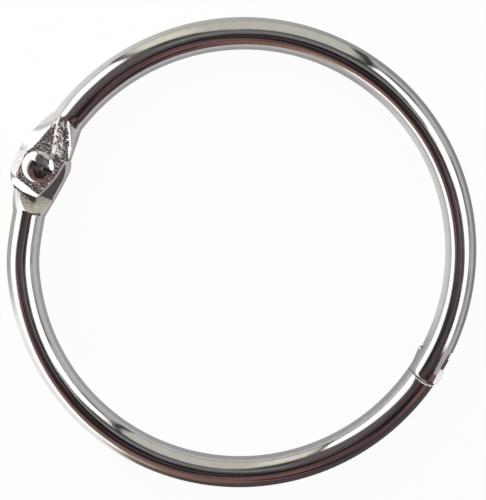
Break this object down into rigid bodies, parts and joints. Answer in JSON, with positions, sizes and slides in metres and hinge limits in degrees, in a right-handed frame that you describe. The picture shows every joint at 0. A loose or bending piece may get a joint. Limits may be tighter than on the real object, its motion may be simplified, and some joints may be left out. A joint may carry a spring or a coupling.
{
  "type": "hinged binder ring",
  "caption": "Hinged loose-leaf ring of round plated steel wire: flat eyes riveted at the hinge, half-lapped tongues that snap shut opposite.",
  "frame": {"origin": "centre of the closed ring, in the middle plane of the wire", "axes": "+Z square to the ring, out of the front where the trimmed eye and the front tongue lie; +X to the right and +Y up as seen from the front, with the hinge at the upper left and the snap at the lower right"},
  "size_m": [0.0438, 0.0438, 0.0034],
  "materials": {
    "nickel_plate": "bright nickel plating on steel wire, pressed faces slightly pitted",
    "rivet_plate": "bright nickel plating"
  },
  "bodies": {
    "upper": {"upper_half": "nickel_plate", "hinge_rivet": "rivet_plate"},
    "lower": {"lower_half": "nickel_plate"}
  },
  "joints": [
    {"name": "ring_hinge", "type": "hinge", "parent": "upper", "child": "lower", "pos_m": [-0.01886, 0.0084, 0], "axis": [0, 0, -1], "range_deg": [0, 110]}
  ]
}
